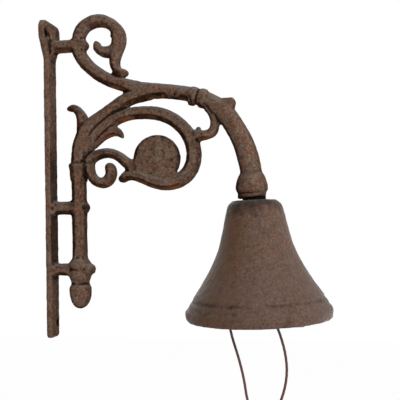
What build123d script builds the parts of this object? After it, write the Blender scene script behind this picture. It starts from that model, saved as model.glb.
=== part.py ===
# Cast iron wall bell on a scroll bracket, all sizes in millimetres.
#
# The wall is the plane X = 0, the arm reaches along +X and Z is up. The origin lies on the wall,
# midway between the two top screws. The bracket's scrolls lie in the plane Y = 0, and their
# outlines are measured from the wall and from the level of the bell's seat.

import os
from math import atan, cos, degrees, pi, radians, sin, tan

from build123d import *

os.makedirs("parts", exist_ok=True)

# Wall strip and its screw lug
strip_width = 14.5
strip_thickness = 4.6
strip_bevel = 0.9
strip_foot_drop = 230.0
strip_foot_round = 3.2
lug_width = 31.0
lug_rise = 9.8
lug_side_drop = 4.0
lug_taper_drop = 19.0
lug_round = 5.5
lug_web_width = 10.0
lug_web_height = 4.4
lug_web_top = 6.0
lug_web_foot = -20.0

# Screw holes
screw_spacing = 19.0
screw_hole = 6.2
screw_head = 9.6
foot_screw_drop = 219.5
foot_screw_offset = 3.4
foot_screw_hole = 5.0

# Places of the scroll work
seat_drop = 129.0
bell_reach = 157.6
scroll_rise = 137.3
stem_reach = 24.7

# Sections of the scroll work
limb_depth = 11.0
limb_bevel = 2.6
curl_depth = 9.6
curl_bevel = 2.2
leaf_depth = 8.0
leaf_bevel = 1.0
strut_depth = 11.6
strut_bevel = 2.0
strut_heights = (8.6, 9.8, 8.8)
strut_levels = (119.8, -3.4, -49.8)
strut_ends = (33.3, 32.0, 35.9)
strut_fillet = 2.4
stem_width = 10.4
stem_top = 28.0
stem_foot = -50.0
collar_level = 28.2
collar_height = 3.6
collar_overhang = 1.0
collar_proud = 0.6
collar_round = 1.0
capital_height = 12.0
capital_inset = 0.3
acorn_top = -40.0
acorn_height = 39.4
acorn_cap = 16.8
bud_diameter = 4.0
bead_diameter = 4.0

# Round boss inside the big scroll
boss_diameter = 35.6
boss_edge = 5.0
boss_crown = 8.6
boss_round = 1.4

# Arm and socket
ring_places = [(114.3, 76.2), (121.5, 74.2)]
ring_heading = (0.963, 0, -0.269)
ring_diameter = 14.4
ring_width = 4.6
ring_round = 0.9
thorn_outline = [
    (136.6, 73.8), (139.9, 73.4), (143.3, 73.6), (145, 72.8), (145.6, 70.3), (143, 61), (133, 64),
]
thorn_depth = 9.0
thorn_round = 1.2
socket_diameter = 23.4
socket_mouth = 20.4
socket_neck = 16.0
socket_bulge_rise = 8.4
socket_neck_rise = 19.0
socket_groove_rise = 4.0
mouth_rise = 1.4
socket_slant = 6.5
socket_offset = 1.6

# Bell
bell_lean = 1.2
bell_diameter = 104.0
bell_height = 84.4
bell_wall = 4.3
crown_flat = 15.5
crown_radius = 19.0
crown_drop = 3.4
crown_thickness = 5.0
crown_gap = 2.3
waist_radius = 24.3
waist_drop = 24.4
flare_radius = 34.5
flare_drop = 49.7
bead_radius = 47.4
bead_drop = 70.2
bead_groove = 0.9
lip_drop = 80.4
lip_wall = 5.4
lip_land = 2.0

# Fittings inside the bell
bolt_diameter = 6.0
bolt_grip = 11.0
bolt_clearance = 0.25
eye_wire = 3.2
eye_radius = 3.6
eye_gap = 0.4
washer_diameter = 16.8
inner_washer_diameter = 16.0
inner_washer_thickness = 1.4
nut_flats = 10.0
nut_height = 5.0
link_wire = 2.6
link_straight = 6.0
clapper_wire = 3.0
clapper_rod = 5.0
ball_diameter = 21.0
ball_drop = 66.0
cord_eye_wire = 2.6
cord_eye_radius = 3.4

# Lace
cord_diameter = 1.9
knot_diameter = 6.4

seat = Plane(origin=(0, 0, -seat_drop), x_dir=(1, 0, 0), z_dir=(0, -1, 0))

# The scroll work is drawn for a bell 157.6 from the wall, a top loop 137.3 high and limbs 11 deep
across = bell_reach / 157.6
upward = scroll_rise / 137.3
stoutness = limb_depth / 11


def drawn(points):
    """Points of the scroll work's drawing, stretched to the bell's reach and the top loop's height."""
    return [(x * across, y * upward) for x, y in points]


def limb(route, widths, depth, bevel, tip=False):
    """A cast limb: its two edges keep half its width each side of a curve through the route."""
    route = drawn(route)
    with BuildLine() as spine:
        Spline(*route)
    curve = spine.edge()
    ways = [curve.tangent_at(curve.param_at_point(point)) for point in route]
    layers = ((-depth / 2, bevel), (bevel - depth / 2, 0), (depth / 2 - bevel, 0), (depth / 2, bevel))
    with BuildPart() as made:
        for level, inset in layers:
            halves = [width * stoutness / 2 - min(inset, width * stoutness / 3) for width in widths]
            left = [Vector(*p) + Vector(-w.Y, w.X) * h for p, w, h in zip(route, ways, halves)]
            right = [Vector(*p) - Vector(-w.Y, w.X) * h for p, w, h in zip(route, ways, halves)]
            with BuildSketch(seat.offset(level)):
                with BuildLine():
                    Spline(*left)
                    if tip:
                        ThreePointArc(left[-1], Vector(*route[-1]) + ways[-1] * halves[-1], right[-1])
                    else:
                        Line(left[-1], right[-1])
                    Spline(*reversed(right))
                    Line(right[0], left[0])
                make_face()
        loft(ruled=True)
    return made.part


# The top loop rises from the upper strut, turns over and comes down on the arm as a small foot
top_loop = limb(
    [(26, 119.8), (26.9, 127.8), (30.6, 133.6), (36.8, 136.8), (44.5, 137.3), (51, 134.8),
     (56.3, 130), (58.4, 124), (57.3, 117.3), (55.2, 110.5), (54.6, 104), (56.6, 98.8), (62, 96.8)],
    [9.4, 9.4, 9.4, 9.2, 9.1, 8.8, 9.2, 10.2, 10.2, 8.6, 7.2, 6.8, 5.4],
    limb_depth, limb_bevel, tip=True,
)
top_curl = limb(
    [(57, 115.4), (50.5, 113.4), (45.3, 113.9), (41.8, 116.4), (41, 120)],
    [9.4, 8, 7.6, 6.4, 3.8],
    curl_depth, leaf_bevel, tip=True,
)
sweep_limb = limb(
    [(26, 119.8), (27, 113), (31.2, 106.3), (37, 100.6), (43.6, 95.6), (51, 91.6), (60, 88.2), (72, 84.6)],
    [9.8, 9.8, 9.6, 9.6, 9.7, 9.7, 9.8, 10.6],
    limb_depth, limb_bevel,
)
branch = limb(
    [(24.7, 20), (24.8, 31), (26.5, 42), (30.2, 51.5), (36, 58.8), (43, 64.2), (51, 69.6), (60, 74.8),
     (70, 78.8), (82, 81)],
    [10.4, 11, 12.4, 12.4, 11, 9.8, 8.8, 9.6, 11, 11],
    limb_depth, limb_bevel,
)
big_scroll = limb(
    [(28.5, 33), (33.5, 44), (41, 53), (52, 61.2), (66, 65.6), (80, 66), (93.3, 62.9), (104.8, 55),
     (112.4, 43.5), (114, 31), (108.6, 19.2), (97, 13.2), (84, 14.4), (74, 18.4), (65.5, 20.2), (59.6, 17.4)],
    [9, 9.6, 9.4, 9, 9, 9.5, 10, 10, 10.4, 10.8, 10.8, 10, 9.6, 9, 8, 5.8],
    limb_depth - 0.6, limb_bevel, tip=True,
)
small_limb = limb(
    [(29, 25), (33, 31.2), (38.5, 35.4), (45, 37.1), (51.5, 36.6), (57.5, 33.6), (62.5, 29.6), (69, 25)],
    [7, 7.4, 7.4, 7.2, 7.2, 7.4, 8, 8.6],
    curl_depth, curl_bevel,
)
small_curl = limb(
    [(33.6, 31), (33.8, 25), (35.7, 19.4), (39.6, 15.8), (44.4, 15), (48.7, 17.4), (50.5, 22), (49.6, 26.2)],
    [6.8, 7, 7.4, 7.6, 8.2, 8.6, 8.4, 7.4],
    curl_depth - 0.6, curl_bevel, tip=True,
)
upper_leaf = limb(
    [(30, 53), (28.9, 61), (26.3, 68), (22.4, 71.8), (18.4, 71.6)],
    [11, 9, 6.4, 5.8, 3.8],
    leaf_depth, leaf_bevel, tip=True,
)
lower_leaf = limb(
    [(35, 43.5), (42.5, 50.2), (50.5, 53.2), (56, 52.4), (59, 49)],
    [8, 8.6, 7.8, 6, 2.6],
    leaf_depth, leaf_bevel, tip=True,
)
arm_link = limb(
    [(125.5, 68), (129.4, 61), (130, 54.6), (128.2, 49.6), (123.6, 47.5), (115.5, 47)],
    [8, 6.4, 6.4, 6.8, 6.8, 8],
    curl_depth - 0.4, curl_bevel,
)

# The arm is round, and grows thicker from the rings to the socket
socket_reach = bell_reach - socket_offset
arm_route = [
    (58, 88.4), (70, 84.6), (84, 81.9), (94.6, 81), (104.7, 79.5), (114, 77.3), (121.5, 74.2), (129.6, 69.6),
    (137.2, 63.3), (142.8, 55.3), (147.8, 46.4), (151.9, 36.8), (154.4, 27), (155.6, 15),
]
arm_diameters = [9, 11.5, 12.2, 11.1, 10.9, 11.2, 12, 13.4, 14.2, 14.4, 14.8, 15.4, 15.9, 15.9]
with BuildPart() as arm:
    with BuildLine(seat) as arm_line:
        Spline(*drawn(arm_route))
    arm_curve = arm_line.edge()
    for place, diameter in zip(drawn(arm_route), arm_diameters):
        centre = seat.from_local_coords(Vector(*place))
        heading = arm_curve.tangent_at(arm_curve.param_at_point(centre))
        with BuildSketch(Plane(origin=centre, x_dir=(0, 1, 0), z_dir=heading)):
            Circle(diameter * stoutness / 2)
    loft()

# Two rings stand proud of the arm where the link meets it
with BuildPart() as rings:
    for place in drawn(ring_places):
        centre = seat.from_local_coords(Vector(*place))
        with Locations(Plane(origin=centre, x_dir=(0, 1, 0), z_dir=ring_heading)):
            Cylinder(ring_diameter / 2, ring_width)
    fillet(rings.faces().filter_by(GeomType.PLANE).edges(), ring_round)

# The socket's mouth is cut at a slant, higher on the side away from the wall
mouth = Plane(
    origin=(bell_reach, 0, mouth_rise - seat_drop),
    x_dir=(cos(radians(socket_slant)), 0, sin(radians(socket_slant))),
    z_dir=(-sin(radians(socket_slant)), 0, cos(radians(socket_slant))),
)
with BuildPart() as socket:
    with BuildSketch(Plane(origin=(socket_reach, 0, -seat_drop), x_dir=(1, 0, 0), z_dir=(0, -1, 0))):
        with BuildLine():
            Line((0, -mouth_rise), (socket_mouth / 2, -mouth_rise))
            Line((socket_mouth / 2, -mouth_rise), (socket_mouth / 2, mouth_rise))
            Spline(
                (socket_mouth / 2, mouth_rise),
                (socket_mouth * 0.512, socket_groove_rise * 0.75),
                (socket_mouth * 0.503, socket_groove_rise),
                (socket_diameter * 0.472, socket_groove_rise * 1.4),
                (socket_diameter / 2, socket_bulge_rise),
                (socket_diameter * 0.483, socket_bulge_rise * 1.31),
                (socket_diameter * 0.415, socket_neck_rise * 0.842),
                (socket_neck / 2, socket_neck_rise),
            )
            Line((socket_neck / 2, socket_neck_rise), (0, socket_neck_rise))
            Line((0, socket_neck_rise), (0, -mouth_rise))
        make_face()
    revolve(axis=Axis((socket_reach, 0, 0), (0, 0, 1)))
    split(bisect_by=mouth, keep=Keep.TOP)

# Three struts stand off the strip and end in round knobs past the stem
with BuildPart() as struts:
    with BuildSketch(seat) as strut_faces:
        for level, height, end in zip(strut_levels, strut_heights, strut_ends):
            with Locations((strip_thickness / 2, level)):
                Rectangle(strip_thickness, height + 4 * strut_fillet)
            with Locations(((end - height / 2 + strip_thickness / 2) / 2, level)):
                Rectangle(end - height / 2 - strip_thickness / 2, height)
            with Locations((end - height / 2, level)):
                Circle(height / 2)
        corners = strut_faces.vertices().filter_by_position(Axis.X, strip_thickness - 0.1, strip_thickness + 0.1)
        for corner_set in [corners.sort_by(Axis.Y)[i * 4 + 1:i * 4 + 3] for i in range(len(strut_levels))]:
            fillet(corner_set, strut_fillet)
    extrude(amount=strut_depth / 2, both=True)
    chamfer(struts.faces().filter_by(Axis.Y).edges(), strut_bevel)

with BuildPart() as stem:
    with Locations((stem_reach, 0, (stem_top + stem_foot) / 2 - seat_drop)):
        Box(stem_width, limb_depth, stem_top - stem_foot)
    chamfer(stem.edges().filter_by(Axis.Z), limb_bevel)

# The collar stands on a capital that narrows down to the stem
collar_width = stem_width + 2 * collar_overhang
collar_depth = strut_depth + 2 * collar_proud
with BuildPart() as collar:
    with Locations((stem_reach, 0, collar_level - seat_drop)):
        Box(collar_width, collar_depth, collar_height)
    fillet(collar.edges(), collar_round)
    with BuildSketch(Plane(origin=(stem_reach, 0, collar_level - seat_drop), x_dir=(1, 0, 0), z_dir=(0, 0, -1))):
        Rectangle(collar_width - capital_inset, collar_depth - capital_inset)
    extrude(amount=capital_height, taper=degrees(atan(collar_overhang / capital_height)))

# The acorn hangs below the stem: a band, a cap, a waist and a nut, as shares of its cap and its height
acorn_outline = [
    (0.26, 0), (0.44, 0.09), (0.5, 0.165), (0.452, 0.232), (0.492, 0.31), (0.47, 0.4), (0.423, 0.468), (0.393, 0.515),
    (0.476, 0.573), (0.494, 0.672), (0.44, 0.825), (0.274, 0.947), (0, 1),
]
with BuildPart() as acorn:
    with BuildSketch(Plane(origin=(stem_reach, 0, -seat_drop), x_dir=(1, 0, 0), z_dir=(0, -1, 0))):
        with BuildLine():
            Polyline((0, acorn_top - acorn_height), (0, acorn_top), (acorn_cap * acorn_outline[0][0], acorn_top))
            Spline(*[(acorn_cap * out, acorn_top - acorn_height * down) for out, down in acorn_outline])
        make_face()
    revolve(axis=Axis((stem_reach, 0, 0), (0, 0, 1)))

# The boss is a domed disc set in the big scroll
(boss_reach, boss_rise), = drawn([(86, 31.3)])
with BuildPart() as boss:
    with BuildSketch(Plane(origin=(boss_reach, 0, boss_rise - seat_drop), x_dir=(1, 0, 0), z_dir=(0, 0, 1))):
        with BuildLine():
            Line((0, -boss_crown / 2), (0, boss_crown / 2))
            dome = ThreePointArc(
                (0, boss_crown / 2), (boss_diameter / 4, boss_edge / 2 + (boss_crown - boss_edge) * 0.375),
                (boss_diameter / 2, boss_edge / 2),
            )
            Line(dome @ 1, (boss_diameter / 2, -boss_edge / 2))
            mirror(dome, about=Plane.XZ)
        make_face()
    revolve(axis=Axis((boss_reach, 0, boss_rise - seat_drop), (0, 1, 0)))
    fillet(boss.edges().filter_by(GeomType.CIRCLE).sort_by(SortBy.LENGTH)[-2:], boss_round)

# Small lumps of the casting: a thorn on the arm, a bud in the top loop and a bead on the link
with BuildPart() as lumps:
    with BuildSketch(seat) as thorn_face:
        Polygon(*drawn(thorn_outline), align=None)
    extrude(amount=thorn_depth / 2, both=True)
    fillet(lumps.edges(), thorn_round)
    with Locations(seat):
        with Locations(*drawn([(53, 125.5)])):
            Sphere(bud_diameter / 2)
        with Locations(*drawn([(117.8, 52)])):
            Sphere(bead_diameter / 2)

# The bell leans a little on its bolt
crown = mouth_rise - crown_gap - seat_drop
lean = radians(bell_lean)
bell_top = Plane(origin=(bell_reach, 0, crown), x_dir=(cos(lean), 0, sin(lean)), z_dir=(-sin(lean), 0, cos(lean)))
bell_plane = Plane(origin=bell_top.origin, x_dir=bell_top.x_dir, z_dir=(0, -1, 0))
bell_axis = Axis(bell_top.origin, bell_top.z_dir)

with BuildPart() as wall_bracket:
    with BuildSketch(Plane.YZ) as strip_face:
        with BuildLine():
            Polyline(
                (0, lug_rise), (lug_width / 2, lug_rise), (lug_width / 2, -lug_side_drop),
                (strip_width / 2, -lug_taper_drop), (strip_width / 2, -strip_foot_drop),
                (0, -strip_foot_drop),
            )
            mirror(about=Plane.YZ)
        make_face()
        fillet(strip_face.vertices().filter_by_position(Axis.Y, -lug_taper_drop - 1, lug_rise + 1), lug_round)
        fillet(strip_face.vertices().group_by(Axis.Y)[0], strip_foot_round)
    extrude(amount=strip_thickness)
    chamfer(wall_bracket.faces().sort_by(Axis.X)[-1].edges(), strip_bevel)
    with BuildSketch(Plane.XZ) as web_face:
        with BuildLine():
            Polyline(
                (strip_thickness / 2, lug_web_top),
                (strip_thickness, lug_web_top),
                (strip_thickness + lug_web_height, strut_levels[0] - seat_drop),
                (strip_thickness, lug_web_foot),
                (strip_thickness / 2, lug_web_foot),
                close=True,
            )
        make_face()
    extrude(amount=lug_web_width / 2, both=True)
    add(struts.part)
    add(stem.part)
    add(top_loop)
    add(top_curl)
    add(sweep_limb)
    add(branch)
    add(big_scroll)
    add(small_limb)
    add(small_curl)
    add(upper_leaf)
    add(lower_leaf)
    add(arm_link)
    add(arm.part)
    add(rings.part)
    add(socket.part)
    add(boss.part)
    add(lumps.part)
    add(collar.part)
    add(acorn.part)
    with Locations(bell_top.offset(crown_gap)):
        Cylinder(bolt_diameter / 2, 2 * bolt_grip, mode=Mode.SUBTRACT)
    with Locations(Plane(origin=(strip_thickness, 0, 0), x_dir=(0, 1, 0), z_dir=(1, 0, 0))):
        with GridLocations(screw_spacing, 1, 2, 1):
            CounterSinkHole(screw_hole / 2, screw_head / 2)
        with Locations((foot_screw_offset, -foot_screw_drop)):
            Hole(foot_screw_hole / 2)
wall_bracket.part.label = "wall_bracket"
export_step(wall_bracket.part, "parts/wall_bracket.step")

# Bell: one open casting that leans a little, thickest at the lip, with a bead line round it and a hole in its crown
bell_outline = [
    (crown_flat, 0), (crown_radius, crown_drop), (20.9, 9.1), (22.3, 15.5), (waist_radius, waist_drop),
    (27.1, 34), (30.8, 42.5), (flare_radius, flare_drop), (40, 58.9), (45.4, 66.7), (bead_radius, bead_drop),
    (49.4, 73.6), (51.6, 77), (bell_diameter / 2, lip_drop),
]
with BuildLine() as bell_line:
    Spline(*[(radius, -drop) for radius, drop in bell_outline])
bell_curve = bell_line.edge()
bell_lining = []
for radius, drop in bell_outline[2:-2]:
    heading = bell_curve.tangent_at(bell_curve.param_at_point(Vector(radius, -drop)))
    bell_lining.append(Vector(radius, -drop) + Vector(heading.Y, -heading.X) * bell_wall)
lip_inner = bell_diameter / 2 - lip_wall
with BuildPart() as bell:
    with BuildSketch(bell_plane):
        with BuildLine():
            Line((bolt_diameter / 2 + bolt_clearance, 0), (crown_flat, 0))
            Spline(*[(radius, -drop) for radius, drop in bell_outline])
            lip = ThreePointArc(
                (bell_diameter / 2, -lip_drop), (bell_diameter / 2 - 0.5, -(lip_drop + bell_height) / 2 - 0.7),
                (bell_diameter / 2 - lip_land, -bell_height),
            )
            Line(lip @ 1, (lip_inner + 0.5, -bell_height))
            Spline(
                (lip_inner + 0.5, -bell_height), (lip_inner, -lip_drop), *reversed(bell_lining),
                (crown_flat - 3.5, -crown_thickness),
            )
            Line((crown_flat - 3.5, -crown_thickness), (bolt_diameter / 2 + bolt_clearance, -crown_thickness))
            Line((bolt_diameter / 2 + bolt_clearance, -crown_thickness), (bolt_diameter / 2 + bolt_clearance, 0))
        make_face()
    revolve(axis=bell_axis)
    with BuildSketch(bell_plane):
        with Locations((bead_radius + 0.4, -bead_drop)):
            Circle(bead_groove)
        with Locations((bead_radius + 2.9, -bead_drop - 4.1)):
            Circle(bead_groove * 0.7)
    revolve(axis=bell_axis, mode=Mode.SUBTRACT)
bell.part.label = "bell"
export_step(bell.part, "parts/bell.step")

# Rubber washer: a wedge between the bell's crown and the slanted mouth
with BuildPart() as rubber_washer:
    with Locations(bell_top):
        Cylinder(washer_diameter / 2, 2 * crown_gap, align=(Align.CENTER, Align.CENTER, Align.MIN))
    split(bisect_by=mouth, keep=Keep.BOTTOM)
    with Locations(bell_top):
        Cylinder(bolt_diameter / 2 + bolt_clearance, 4 * crown_gap, mode=Mode.SUBTRACT)
rubber_washer.part.label = "rubber_washer"
export_step(rubber_washer.part, "parts/rubber_washer.step")

# Eye bolt: its shank screws into the socket, its eye hangs below the nut
nut_seat = crown_thickness + inner_washer_thickness
eye_drop = nut_seat + nut_height + eye_wire / 2 + eye_radius + eye_gap
with BuildPart() as eye_bolt:
    with Locations(bell_top.offset(crown_gap + bolt_grip)):
        Cylinder(
            bolt_diameter / 2, crown_gap + bolt_grip + eye_drop - eye_radius,
            align=(Align.CENTER, Align.CENTER, Align.MAX),
        )
    fillet(eye_bolt.edges().filter_by(GeomType.CIRCLE).sort_by(Axis.Z)[0], bolt_diameter / 5)
    with Locations(bell_top.offset(-eye_drop)):
        Torus(eye_radius, eye_wire / 2, rotation=(90, 0, 0))
eye_bolt.part.label = "eye_bolt"
export_step(eye_bolt.part, "parts/eye_bolt.step")

with BuildPart() as inner_washer:
    with Locations(bell_top.offset(-nut_seat)):
        Cylinder(inner_washer_diameter / 2, inner_washer_thickness, align=(Align.CENTER, Align.CENTER, Align.MIN))
        Cylinder(bolt_diameter / 2 + bolt_clearance, 2 * inner_washer_thickness, mode=Mode.SUBTRACT)
inner_washer.part.label = "inner_washer"
export_step(inner_washer.part, "parts/inner_washer.step")

with BuildPart() as bell_nut:
    with BuildSketch(bell_top.offset(-nut_seat)):
        RegularPolygon(nut_flats / 2, 6, major_radius=False)
        Circle(bolt_diameter / 2, mode=Mode.SUBTRACT)
    extrude(amount=-nut_height)
bell_nut.part.label = "bell_nut"
export_step(bell_nut.part, "parts/bell_nut.step")

# Oblong link: it hangs on the eye's lower wire and swings front and back
eye_reach = bell_reach + (eye_drop + eye_radius) * sin(lean)
link_pivot = crown - (eye_drop + eye_radius) * cos(lean)
link_radius = eye_radius - 0.2
clapper_pivot = link_pivot - link_straight - link_radius
with BuildPart() as clapper_link:
    with BuildLine(Plane(origin=(eye_reach, 0, link_pivot), x_dir=(0, 1, 0), z_dir=(1, 0, 0))) as link_line:
        Line((link_radius, 0), (link_radius, -link_straight))
        ThreePointArc((link_radius, -link_straight), (0, -link_straight - link_radius), (-link_radius, -link_straight))
        Line((-link_radius, -link_straight), (-link_radius, 0))
        ThreePointArc((-link_radius, 0), (0, link_radius), (link_radius, 0))
    with BuildSketch(Plane(origin=link_line.line @ 0, z_dir=link_line.line % 0)):
        Circle(link_wire / 2)
    sweep(path=link_line.wire())
clapper_link.part.label = "clapper_link"
export_step(clapper_link.part, "parts/clapper_link.step")

# Clapper: a ring on the link, a rod, the ball and a lower eye for the lace
ring_reach = eye_radius - 0.2
ball_centre = crown - ball_drop + crown_gap / 2
cord_eye_centre = ball_centre - ball_diameter / 2 - cord_eye_radius
with BuildPart() as clapper:
    rod_top = clapper_pivot - ring_reach
    with Locations((eye_reach, 0, (rod_top + ball_centre) / 2)):
        Cylinder(clapper_rod / 2, rod_top - ball_centre)
    with Locations((eye_reach, 0, ball_centre)):
        Sphere(ball_diameter / 2)
    with Locations((eye_reach, 0, clapper_pivot)):
        Torus(ring_reach, clapper_wire / 2, rotation=(90, 0, 0))
    with Locations((eye_reach, 0, cord_eye_centre)):
        Torus(cord_eye_radius, cord_eye_wire / 2, rotation=(0, 90, 0))
clapper.part.label = "clapper"
export_step(clapper.part, "parts/clapper.step")

# Lace: one loop from the knot up through the clapper's lower eye and back to the knot
cord_route = drawn([
    (161.5, -170), (154.6, -157.6), (149.4, -143.6), (147.6, -128.6), (143.9, -113), (139.3, -98.4),
    (137.2, -86.8), (143.6, -79.2), (152.6, -78.6), (162.4, -81.2), (170.3, -87), (174.4, -97.4),
    (177.6, -110.4), (178.4, -123.6), (175.7, -137.4), (170, -150.6), (164.4, -161.4), (163.9, -170),
])
runs = [(Vector(*after) - Vector(*before)) for before, after in zip(cord_route, cord_route[1:])]
turns = [before.get_angle(after) for before, after in zip(runs, runs[1:])]
cord_radii = [
    0.45 * min(before.length, after.length) / tan(radians(turn / 2))
    for before, after, turn in zip(runs, runs[1:], turns)
]
print("lace radii", [round(radius, 1) for radius in cord_radii])
with BuildPart() as pull_cord:
    with BuildLine(seat) as cord_line:
        FilletPolyline(*cord_route, radius=cord_radii)
    with BuildSketch(Plane(origin=cord_line.line @ 0, z_dir=cord_line.line % 0)):
        Circle(cord_diameter / 2)
    sweep(path=cord_line.wire())
cord_volume = pi * (cord_diameter / 2) ** 2 * cord_line.wire().length
print("lace length", round(cord_line.wire().length, 1), "volume ratio", round(pull_cord.part.volume / cord_volume, 3))
pull_cord.part.label = "pull_cord"
export_step(pull_cord.part, "parts/pull_cord.step")

with BuildPart() as cord_knot:
    with Locations(seat):
        with Locations(*drawn([(162.7, -172)])):
            Sphere(knot_diameter / 2)
cord_knot.part.label = "cord_knot"
export_step(cord_knot.part, "parts/cord_knot.step")
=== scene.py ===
"""Looks for the cast iron wall bell. Lengths are in metres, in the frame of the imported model."""

import bmesh
import bpy
import numpy as np
from mathutils import Matrix, Vector


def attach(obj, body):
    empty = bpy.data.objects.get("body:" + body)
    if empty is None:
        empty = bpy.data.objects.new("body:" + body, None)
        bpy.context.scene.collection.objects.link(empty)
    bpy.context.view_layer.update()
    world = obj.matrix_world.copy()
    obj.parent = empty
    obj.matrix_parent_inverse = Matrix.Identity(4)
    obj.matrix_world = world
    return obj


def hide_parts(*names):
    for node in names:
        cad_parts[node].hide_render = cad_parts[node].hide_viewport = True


MM = 0.001

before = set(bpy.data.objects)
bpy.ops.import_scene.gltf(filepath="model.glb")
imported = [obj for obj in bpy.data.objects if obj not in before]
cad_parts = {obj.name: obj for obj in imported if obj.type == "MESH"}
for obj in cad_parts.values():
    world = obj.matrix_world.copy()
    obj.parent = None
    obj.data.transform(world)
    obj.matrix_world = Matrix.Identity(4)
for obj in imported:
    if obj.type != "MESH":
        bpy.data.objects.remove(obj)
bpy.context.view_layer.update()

# Places shared with the solids
SEAT = -129 * MM
BELL_REACH = 157.6 * MM
CROWN = SEAT - 0.9 * MM
LEAN = np.radians(1.2)
STRIP_FRONT = 4.6 * MM
STEM_REACH = 24.7 * MM
BOSS = np.array([86.0, 0.0, 31.3 - 129]) * MM
BOSS_RADIUS = 17.8 * MM
COLLAR_TOP = SEAT + 30.2 * MM
COLLAR_FOOT = SEAT + 25.6 * MM
LUG_HOLE_SIDE = 9.5 * MM
SCREW_HOLES = [
    (-LUG_HOLE_SIDE, 0.0, 3.1 * MM), (LUG_HOLE_SIDE, 0.0, 3.1 * MM), (3.4 * MM, -219.5 * MM, 2.5 * MM),
]

# Marks on the arm and the acorn, in x and z
THORN_FOOT = np.array([141.6, -59.7]) * MM
# Short lines in x and z beside the arm's double ring, where shade is painted
RING_SHADE = np.array([
    [[113.2, -53.5], [114.0, -59.0]], [[119.5, -59.5], [121.5, -61.8]], [[124.3, -59.4], [128.8, -65.8]],
]) * MM
SEAM_REACH = np.array([80.5, 85.1, 90.4, 100.1, 107.6, 113.5]) * MM
SEAM_RISE = np.array([-52.1, -50.7, -50.7, -51.0, -53.2, -55.4]) * MM
STRAP_REACH = np.array([17, 25, 35]) * MM
STRAP_RISE = np.array([-174.5, -176, -181.5]) * MM

# Camera: it stands level with the bell's crown and looks a little up, from the arm's side
CAMERA_AIM = np.array([0.1179, 0.0, SEAT + 0.25 * MM])
CAMERA_DISTANCE = 0.5
CAMERA_TURN, CAMERA_PITCH, CAMERA_ROLL = np.radians([12.0, 1.54, 1.1])
FOCAL_PIXELS = 687.0
PHOTO_PIXELS = 400.0
FILM_WIDTH_MM = 36.0
NEAREST_SEEN = 0.01


def photo_camera():
    """The photograph's camera: a turn, a pitch and a roll give its axes, and it backs off from its aim."""
    ahead = np.array([-np.sin(CAMERA_TURN), np.cos(CAMERA_TURN), 0.0]) * np.cos(CAMERA_PITCH)
    ahead[2] = np.sin(CAMERA_PITCH)
    level = np.array([np.cos(CAMERA_TURN), np.sin(CAMERA_TURN), 0.0])
    upright = np.cross(level, ahead)
    right = np.cos(CAMERA_ROLL) * level - np.sin(CAMERA_ROLL) * upright
    up = np.sin(CAMERA_ROLL) * level + np.cos(CAMERA_ROLL) * upright
    place = CAMERA_AIM - CAMERA_DISTANCE * ahead
    camera = bpy.data.objects.new("camera", bpy.data.cameras.new("camera"))
    camera.data.sensor_width = FILM_WIDTH_MM
    camera.data.lens = FILM_WIDTH_MM * FOCAL_PIXELS / PHOTO_PIXELS
    camera.data.clip_start = NEAREST_SEEN
    camera.matrix_world = Matrix([*np.stack([right, up, -ahead, place], axis=1).tolist(), [0, 0, 0, 1]])
    bpy.context.collection.objects.link(camera)
    bpy.context.scene.camera = camera


# Numpy helpers
LATTICE_TURN = np.linalg.qr(np.array([[0.61, 0.47, -0.33], [-0.29, 0.71, 0.52], [0.58, -0.37, 0.66]]))[0]
CORNER_KEYS = (73856093, 19349663, 83492791)
SEED_KEY = 2654435761
STIR_KEYS = ((15, 2246822519), (13, 3266489917))
KEY_BITS = 0xFFFFFFFF


def lattice_noise(points, size, seed):
    """Smooth noise from -1 to 1: random numbers on a turned lattice of that cell size, blended three ways.

    A corner's random number is its three whole numbers times large keys, folded together and stirred."""
    cell = points @ LATTICE_TURN / size
    corner = np.floor(cell).astype(np.int64)
    part = cell - corner
    part = part * part * (3 - 2 * part)
    total = np.zeros(len(points))
    for step in np.ndindex(2, 2, 2):
        key = np.bitwise_xor.reduce((corner + step) * CORNER_KEYS, axis=1)
        key = (key ^ seed * SEED_KEY) & KEY_BITS
        for shift, factor in STIR_KEYS:
            key = ((key >> shift) ^ key) * factor & KEY_BITS
        value = ((key >> 16) ^ key) / (KEY_BITS >> 1) - 1
        weight = np.prod(np.abs(1 - np.array(step) - part), axis=1)
        total += value * weight
    return total


def smooth_step(values, low, high):
    """0 below low, 1 above high, and a soft S curve between."""
    share = np.clip((values - low) / (high - low), 0, 1)
    return share * share * (3 - 2 * share)


def within(values, rise, full, fall, end):
    """1 between full and fall, 0 outside rise and end, and soft S curves between them."""
    return smooth_step(values, rise, full) * (1 - smooth_step(values, fall, end))


def hump(distance, width):
    """A bell curve: 1 where the distance is nought, falling away to both sides over the width."""
    return np.exp(-(distance / width) ** 2)


def through(points, count):
    """A Catmull-Rom curve: each span is a cubic whose end slopes are half the chord of its neighbours."""
    points = np.asarray(points, float)
    ends = np.vstack([2 * points[0] - points[1], points, 2 * points[-1] - points[-2]])
    place = np.linspace(0, len(points) - 1, count)
    span = np.minimum(place.astype(int), len(points) - 2)
    t = (place - span)[:, None]
    a, b, c, d = ends[span], ends[span + 1], ends[span + 2], ends[span + 3]
    square, cube = 2 * a - 5 * b + 4 * c - d, 3 * b - a - 3 * c + d
    return 0.5 * (2 * b + (c - a) * t + square * t ** 2 + cube * t ** 3)


def running_length(line):
    """The length from a line's start to each of its points."""
    return np.concatenate([[0], np.cumsum(np.linalg.norm(np.diff(line, axis=0), axis=1))])


def even_steps(line, count):
    """The same curve with its points an even distance apart, found from its running length."""
    length = running_length(line)
    place = np.linspace(0, length[-1], count)
    return np.stack([np.interp(place, length, line[:, axis]) for axis in range(line.shape[1])], axis=1)


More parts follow.
